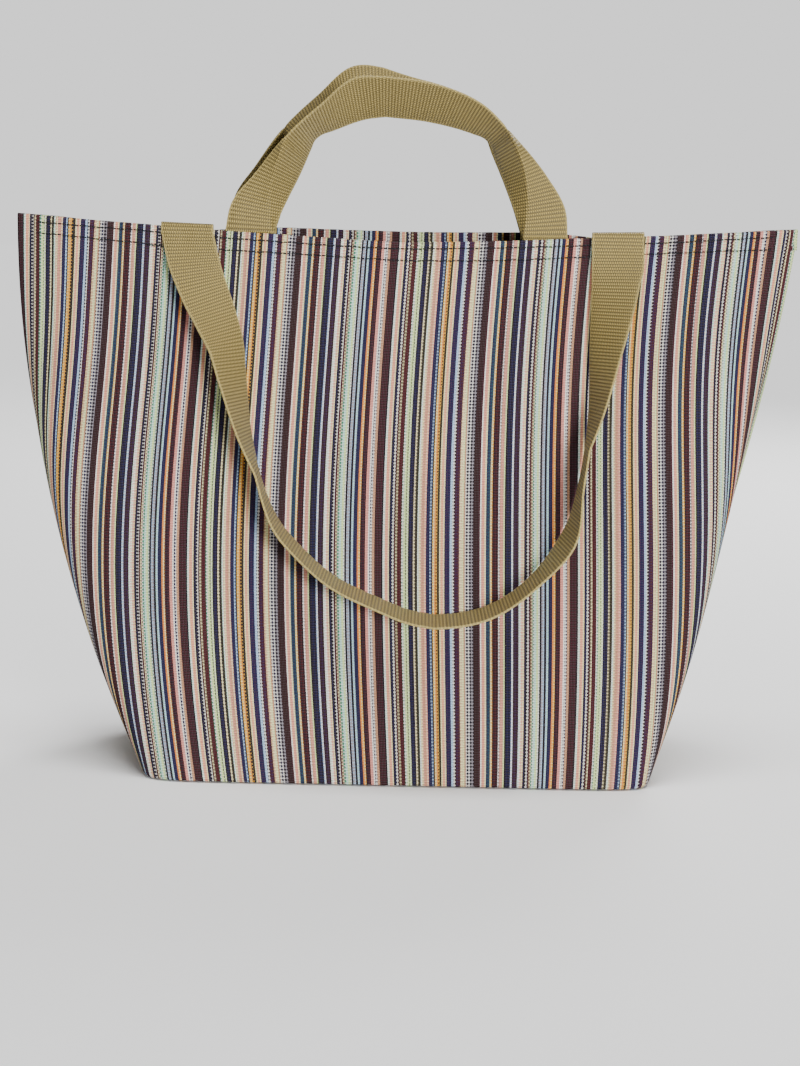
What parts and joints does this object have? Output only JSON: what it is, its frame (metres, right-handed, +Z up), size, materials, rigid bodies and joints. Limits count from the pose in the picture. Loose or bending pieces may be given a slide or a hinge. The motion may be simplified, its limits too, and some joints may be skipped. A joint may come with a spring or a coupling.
{
  "type": "foldable tote bag",
  "caption": "Striped cloth tote bag with a boxed base, two short hand handles and two long shoulder straps of webbing, which closes flat.",
  "frame": {"origin": "centre of the boxed base, on the surface that the bag stands on", "axes": "+Z up, +X to the right as seen from the front, the front faces -Y"},
  "size_m": [0.5704, 0.2504, 0.5108],
  "materials": {
    "cloth": "heavy woven cloth with narrow coloured stripes, matt",
    "seam": "overlocked seam allowance",
    "thread": "near-black polyester sewing thread",
    "webbing": "khaki ribbed webbing with a slight sheen"
  },
  "bodies": {
    "front": {"front_panel": "cloth", "left_side_front": "cloth", "right_side_front": "cloth", "base_front": "cloth", "base_back": "cloth", "left_side_seam": "seam", "right_side_seam": "seam", "left_corner_seam": "seam", "right_corner_seam": "seam", "base_seam": "seam", "front_hem": "cloth", "front_hem_stitch_upper": "thread", "front_hem_stitch_lower": "thread", "front_handle_left_end": "webbing", "front_handle_right_end": "webbing", "front_strap_left_end": "webbing", "front_strap_right_end": "webbing"},
    "back": {"back_panel": "cloth", "left_side_back": "cloth", "right_side_back": "cloth", "back_hem": "cloth", "back_hem_stitch_upper": "thread", "back_hem_stitch_lower": "thread", "back_handle_left_end": "webbing", "back_handle_right_end": "webbing", "back_strap_left_end": "webbing", "back_strap_right_end": "webbing"},
    "front_handle": {"front_handle": "webbing"},
    "back_handle": {"back_handle": "webbing"},
    "front_strap": {"front_strap": "webbing"},
    "back_strap": {"back_strap": "webbing"}
  },
  "joints": [
    {"name": "close_flat", "type": "hinge", "parent": "front", "child": "back", "pos_m": [0, 0, 0.395], "axis": [-1, 0, 0], "range_deg": [0, 26], "deforming": ["left_side_front", "right_side_front", "left_side_back", "right_side_back", "base_front", "base_back", "left_side_seam", "right_side_seam", "left_corner_seam", "right_corner_seam", "base_seam"]},
    {"name": "front_handle_tilt", "type": "hinge", "parent": "front", "child": "front_handle", "pos_m": [0, -0.02698, 0.3866], "axis": [1, 0, 0], "range_deg": [0, 155]},
    {"name": "back_handle_tilt", "type": "hinge", "parent": "back", "child": "back_handle", "pos_m": [0, 0.02698, 0.39068], "axis": [-1, 0, 0], "range_deg": [0, 155]},
    {"name": "front_strap_lift", "type": "hinge", "parent": "front", "child": "front_strap", "pos_m": [0, -0.02318, 0.3893], "axis": [-1, 0, 0], "range_deg": [0, 155]},
    {"name": "back_strap_lift", "type": "hinge", "parent": "back", "child": "back_strap", "pos_m": [0, 0.02318, 0.38869], "axis": [1, 0, 0], "range_deg": [0, 155]}
  ]
}
